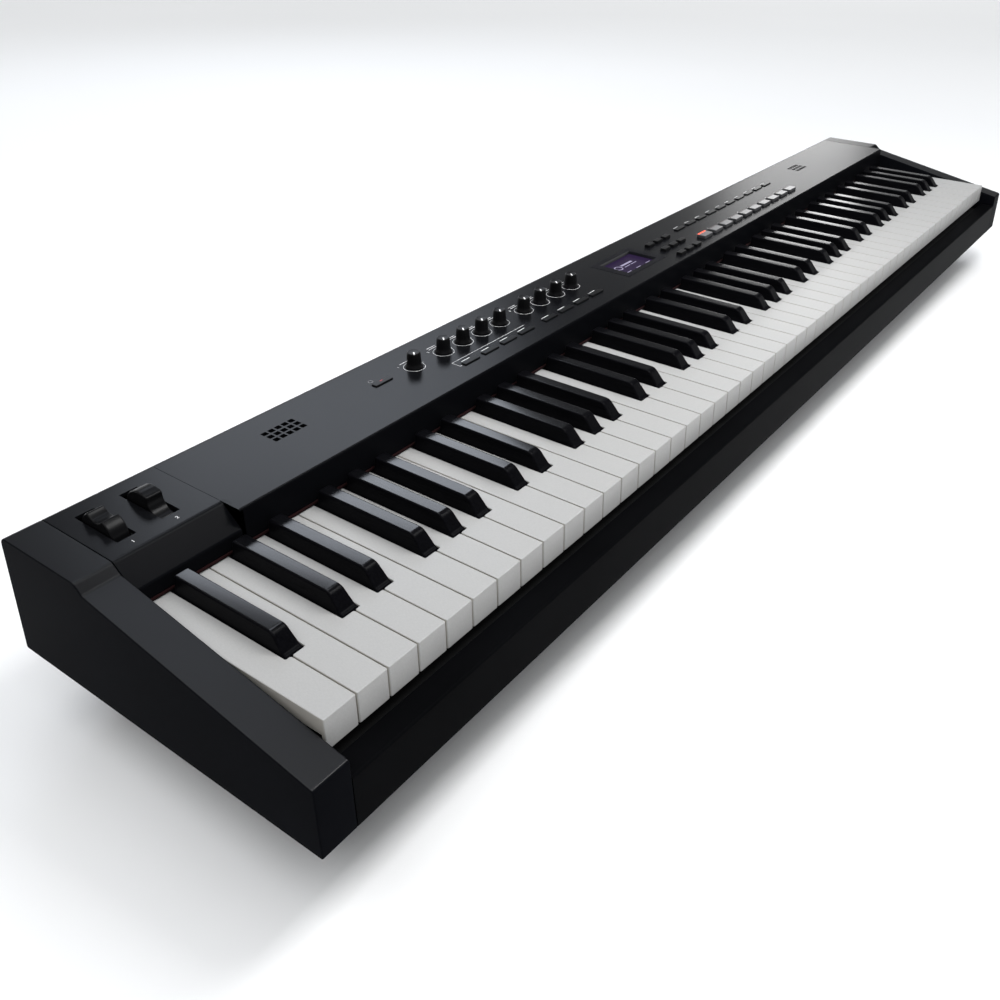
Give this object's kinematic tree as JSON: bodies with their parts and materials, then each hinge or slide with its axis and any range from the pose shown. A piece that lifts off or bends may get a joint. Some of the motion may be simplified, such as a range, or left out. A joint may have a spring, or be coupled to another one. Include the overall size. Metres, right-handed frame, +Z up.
{
  "type": "stage piano",
  "caption": "Slim black stage piano with a full weighted keyboard, two wheels, a knob row, a small display and rows of buttons.",
  "frame": {"origin": "middle of the underside, at floor level between the feet", "axes": "+X to the player's right along the keyboard, front towards -Y, +Z up"},
  "size_m": [1.28, 0.27, 0.1586],
  "materials": {
    "casing": "satin black moulding with a fine grain",
    "panel": "satin black painted sheet",
    "tray": "matt black moulding",
    "foot": "black rubber",
    "white_key": "ivory-feel white plastic",
    "black_key": "ebony-feel black plastic",
    "control": "black plastic",
    "pad": "dark translucent plastic that reflects grey",
    "wheel": "soft black plastic",
    "bezel": "gloss black window frame",
    "screen": "violet graphic display",
    "felt": "dark red felt",
    "stop_felt": "black felt",
    "steel": "zinc plated sheet",
    "board": "green circuit board with black component bodies",
    "speaker": "black cone and basket"
  },
  "bodies": {
    "case": {"left_cheek": "casing", "right_cheek": "casing", "wheel_panel": "panel", "top_panel": "panel", "key_slip": "casing", "rear_panel": "casing", "base_tray": "tray", "foot_front_left": "foot", "foot_front_right": "foot", "foot_rear_left": "foot", "foot_rear_right": "foot", "display_bezel": "bezel", "display_module": "screen", "main_board": "board", "wheel_bracket": "steel", "speaker_left": "speaker", "speaker_right": "speaker", "socket_board": "board", "key_frame": "steel", "stop_felt": "stop_felt", "name_felt": "felt"},
    "knob_1": {"knob_1": "control"},
    "knob_2": {"knob_2": "control"},
    "knob_3": {"knob_3": "control"},
    "knob_4": {"knob_4": "control"},
    "knob_5": {"knob_5": "control"},
    "knob_6": {"knob_6": "control"},
    "knob_7": {"knob_7": "control"},
    "knob_8": {"knob_8": "control"},
    "knob_9": {"knob_9": "control"},
    "power_button": {"power_button": "control"},
    "slim_button_1": {"slim_button_1": "control"},
    "slim_button_2": {"slim_button_2": "control"},
    "slim_button_3": {"slim_button_3": "control"},
    "slim_button_4": {"slim_button_4": "control"},
    "slim_button_5": {"slim_button_5": "control"},
    "slim_button_6": {"slim_button_6": "control"},
    "slim_button_7": {"slim_button_7": "control"},
    "slim_button_8": {"slim_button_8": "control"},
    "rear_button_strip": {"rear_button_strip": "control"},
    "pad_button_strip": {"pad_button_strip": "pad"},
    "cursor_button_strip_1": {"cursor_button_strip_1": "control"},
    "cursor_button_strip_2": {"cursor_button_strip_2": "control"},
    "cursor_button_strip_3": {"cursor_button_strip_3": "control"},
    "wheel_1": {"wheel_1": "wheel"},
    "wheel_2": {"wheel_2": "wheel"},
    "white_keys_1": {"white_keys_1": "white_key"},
    "black_keys_1": {"black_keys_1": "black_key"},
    "white_keys_2": {"white_keys_2": "white_key"},
    "black_keys_2": {"black_keys_2": "black_key"},
    "white_keys_3": {"white_keys_3": "white_key"},
    "black_keys_3": {"black_keys_3": "black_key"},
    "white_keys_4": {"white_keys_4": "white_key"},
    "black_keys_4": {"black_keys_4": "black_key"},
    "white_keys_5": {"white_keys_5": "white_key"},
    "black_keys_5": {"black_keys_5": "black_key"},
    "white_keys_6": {"white_keys_6": "white_key"},
    "black_keys_6": {"black_keys_6": "black_key"},
    "white_keys_7": {"white_keys_7": "white_key"},
    "black_keys_7": {"black_keys_7": "black_key"}
  },
  "joints": [
    {"name": "knob_1_turn", "type": "hinge", "parent": "case", "child": "knob_1", "pos_m": [-0.3241, 0.0862, 0.1456], "axis": [0, 0, 1], "range_deg": [-150, 150]},
    {"name": "knob_2_turn", "type": "hinge", "parent": "case", "child": "knob_2", "pos_m": [-0.2888, 0.0862, 0.1456], "axis": [0, 0, 1], "range_deg": [-150, 150]},
    {"name": "knob_3_turn", "type": "hinge", "parent": "case", "child": "knob_3", "pos_m": [-0.264, 0.0862, 0.1456], "axis": [0, 0, 1], "range_deg": [-150, 150]},
    {"name": "knob_4_turn", "type": "hinge", "parent": "case", "child": "knob_4", "pos_m": [-0.2392, 0.0862, 0.1456], "axis": [0, 0, 1], "range_deg": [-150, 150]},
    {"name": "knob_5_turn", "type": "hinge", "parent": "case", "child": "knob_5", "pos_m": [-0.2144, 0.0862, 0.1456], "axis": [0, 0, 1], "range_deg": [-150, 150]},
    {"name": "knob_6_turn", "type": "hinge", "parent": "case", "child": "knob_6", "pos_m": [-0.1791, 0.0862, 0.1456], "axis": [0, 0, 1], "range_deg": [-150, 150]},
    {"name": "knob_7_turn", "type": "hinge", "parent": "case", "child": "knob_7", "pos_m": [-0.1543, 0.0862, 0.1456], "axis": [0, 0, 1], "range_deg": [-150, 150]},
    {"name": "knob_8_turn", "type": "hinge", "parent": "case", "child": "knob_8", "pos_m": [-0.1295, 0.0862, 0.1456], "axis": [0, 0, 1], "range_deg": [-150, 150]},
    {"name": "knob_9_turn", "type": "hinge", "parent": "case", "child": "knob_9", "pos_m": [-0.1047, 0.0862, 0.1456], "axis": [0, 0, 1], "range_deg": [-150, 150]},
    {"name": "power_button_press", "type": "slide", "parent": "case", "child": "power_button", "axis": [0, 0, -1], "range_m": [0, 0.0008], "stiffness_N_per_m": 600, "springref_m": -0.002},
    {"name": "slim_button_1_press", "type": "slide", "parent": "case", "child": "slim_button_1", "axis": [0, 0, -1], "range_m": [0, 0.0008], "stiffness_N_per_m": 600, "springref_m": -0.002},
    {"name": "slim_button_2_press", "type": "slide", "parent": "case", "child": "slim_button_2", "axis": [0, 0, -1], "range_m": [0, 0.0008], "stiffness_N_per_m": 600, "springref_m": -0.002},
    {"name": "slim_button_3_press", "type": "slide", "parent": "case", "child": "slim_button_3", "axis": [0, 0, -1], "range_m": [0, 0.0008], "stiffness_N_per_m": 600, "springref_m": -0.002},
    {"name": "slim_button_4_press", "type": "slide", "parent": "case", "child": "slim_button_4", "axis": [0, 0, -1], "range_m": [0, 0.0008], "stiffness_N_per_m": 600, "springref_m": -0.002},
    {"name": "slim_button_5_press", "type": "slide", "parent": "case", "child": "slim_button_5", "axis": [0, 0, -1], "range_m": [0, 0.0008], "stiffness_N_per_m": 600, "springref_m": -0.002},
    {"name": "slim_button_6_press", "type": "slide", "parent": "case", "child": "slim_button_6", "axis": [0, 0, -1], "range_m": [0, 0.0008], "stiffness_N_per_m": 600, "springref_m": -0.002},
    {"name": "slim_button_7_press", "type": "slide", "parent": "case", "child": "slim_button_7", "axis": [0, 0, -1], "range_m": [0, 0.0008], "stiffness_N_per_m": 600, "springref_m": -0.002},
    {"name": "slim_button_8_press", "type": "slide", "parent": "case", "child": "slim_button_8", "axis": [0, 0, -1], "range_m": [0, 0.0008], "stiffness_N_per_m": 600, "springref_m": -0.002},
    {"name": "rear_button_strip_press", "type": "slide", "parent": "case", "child": "rear_button_strip", "axis": [0, 0, -1], "range_m": [0, 0.0008], "stiffness_N_per_m": 1500, "springref_m": -0.002},
    {"name": "pad_button_strip_press", "type": "slide", "parent": "case", "child": "pad_button_strip", "axis": [0, 0, -1], "range_m": [0, 0.0008], "stiffness_N_per_m": 1500, "springref_m": -0.002},
    {"name": "cursor_button_strip_1_press", "type": "slide", "parent": "case", "child": "cursor_button_strip_1", "axis": [0, 0, -1], "range_m": [0, 0.0008], "stiffness_N_per_m": 900, "springref_m": -0.002},
    {"name": "cursor_button_strip_2_press", "type": "slide", "parent": "case", "child": "cursor_button_strip_2", "axis": [0, 0, -1], "range_m": [0, 0.0008], "stiffness_N_per_m": 900, "springref_m": -0.002},
    {"name": "cursor_button_strip_3_press", "type": "slide", "parent": "case", "child": "cursor_button_strip_3", "axis": [0, 0, -1], "range_m": [0, 0.0008], "stiffness_N_per_m": 900, "springref_m": -0.002},
    {"name": "wheel_1_turn", "type": "hinge", "parent": "case", "child": "wheel_1", "pos_m": [-0.5964, 0.087, 0.1386], "axis": [-1, 0, 0], "range_deg": [-45, 45], "stiffness_Nm_per_rad": 0.05},
    {"name": "wheel_2_turn", "type": "hinge", "parent": "case", "child": "wheel_2", "pos_m": [-0.566, 0.087, 0.1386], "axis": [-1, 0, 0], "range_deg": [0, 100]},
    {"name": "white_keys_1_dip", "type": "hinge", "parent": "case", "child": "white_keys_1", "pos_m": [0, 0.098, 0.1064], "axis": [1, 0, 0], "range_deg": [0, 2.68], "stiffness_Nm_per_rad": 5, "springref_deg": -17.19},
    {"name": "black_keys_1_dip", "type": "hinge", "parent": "case", "child": "black_keys_1", "pos_m": [0, 0.098, 0.1064], "axis": [1, 0, 0], "range_deg": [0, 3.3], "stiffness_Nm_per_rad": 3, "springref_deg": -14.32},
    {"name": "white_keys_2_dip", "type": "hinge", "parent": "case", "child": "white_keys_2", "pos_m": [0, 0.098, 0.1064], "axis": [1, 0, 0], "range_deg": [0, 2.68], "stiffness_Nm_per_rad": 5, "springref_deg": -17.19},
    {"name": "black_keys_2_dip", "type": "hinge", "parent": "case", "child": "black_keys_2", "pos_m": [0, 0.098, 0.1064], "axis": [1, 0, 0], "range_deg": [0, 3.3], "stiffness_Nm_per_rad": 3, "springref_deg": -14.32},
    {"name": "white_keys_3_dip", "type": "hinge", "parent": "case", "child": "white_keys_3", "pos_m": [0, 0.098, 0.1064], "axis": [1, 0, 0], "range_deg": [0, 2.68], "stiffness_Nm_per_rad": 5, "springref_deg": -17.19},
    {"name": "black_keys_3_dip", "type": "hinge", "parent": "case", "child": "black_keys_3", "pos_m": [0, 0.098, 0.1064], "axis": [1, 0, 0], "range_deg": [0, 3.3], "stiffness_Nm_per_rad": 3, "springref_deg": -14.32},
    {"name": "white_keys_4_dip", "type": "hinge", "parent": "case", "child": "white_keys_4", "pos_m": [0, 0.098, 0.1064], "axis": [1, 0, 0], "range_deg": [0, 2.68], "stiffness_Nm_per_rad": 5, "springref_deg": -17.19},
    {"name": "black_keys_4_dip", "type": "hinge", "parent": "case", "child": "black_keys_4", "pos_m": [0, 0.098, 0.1064], "axis": [1, 0, 0], "range_deg": [0, 3.3], "stiffness_Nm_per_rad": 3, "springref_deg": -14.32},
    {"name": "white_keys_5_dip", "type": "hinge", "parent": "case", "child": "white_keys_5", "pos_m": [0, 0.098, 0.1064], "axis": [1, 0, 0], "range_deg": [0, 2.68], "stiffness_Nm_per_rad": 5, "springref_deg": -17.19},
    {"name": "black_keys_5_dip", "type": "hinge", "parent": "case", "child": "black_keys_5", "pos_m": [0, 0.098, 0.1064], "axis": [1, 0, 0], "range_deg": [0, 3.3], "stiffness_Nm_per_rad": 3, "springref_deg": -14.32},
    {"name": "white_keys_6_dip", "type": "hinge", "parent": "case", "child": "white_keys_6", "pos_m": [0, 0.098, 0.1064], "axis": [1, 0, 0], "range_deg": [0, 2.68], "stiffness_Nm_per_rad": 5, "springref_deg": -17.19},
    {"name": "black_keys_6_dip", "type": "hinge", "parent": "case", "child": "black_keys_6", "pos_m": [0, 0.098, 0.1064], "axis": [1, 0, 0], "range_deg": [0, 3.3], "stiffness_Nm_per_rad": 3, "springref_deg": -14.32},
    {"name": "white_keys_7_dip", "type": "hinge", "parent": "case", "child": "white_keys_7", "pos_m": [0, 0.098, 0.1064], "axis": [1, 0, 0], "range_deg": [0, 2.68], "stiffness_Nm_per_rad": 5, "springref_deg": -17.19},
    {"name": "black_keys_7_dip", "type": "hinge", "parent": "case", "child": "black_keys_7", "pos_m": [0, 0.098, 0.1064], "axis": [1, 0, 0], "range_deg": [0, 3.3], "stiffness_Nm_per_rad": 3, "springref_deg": -14.32}
  ]
}
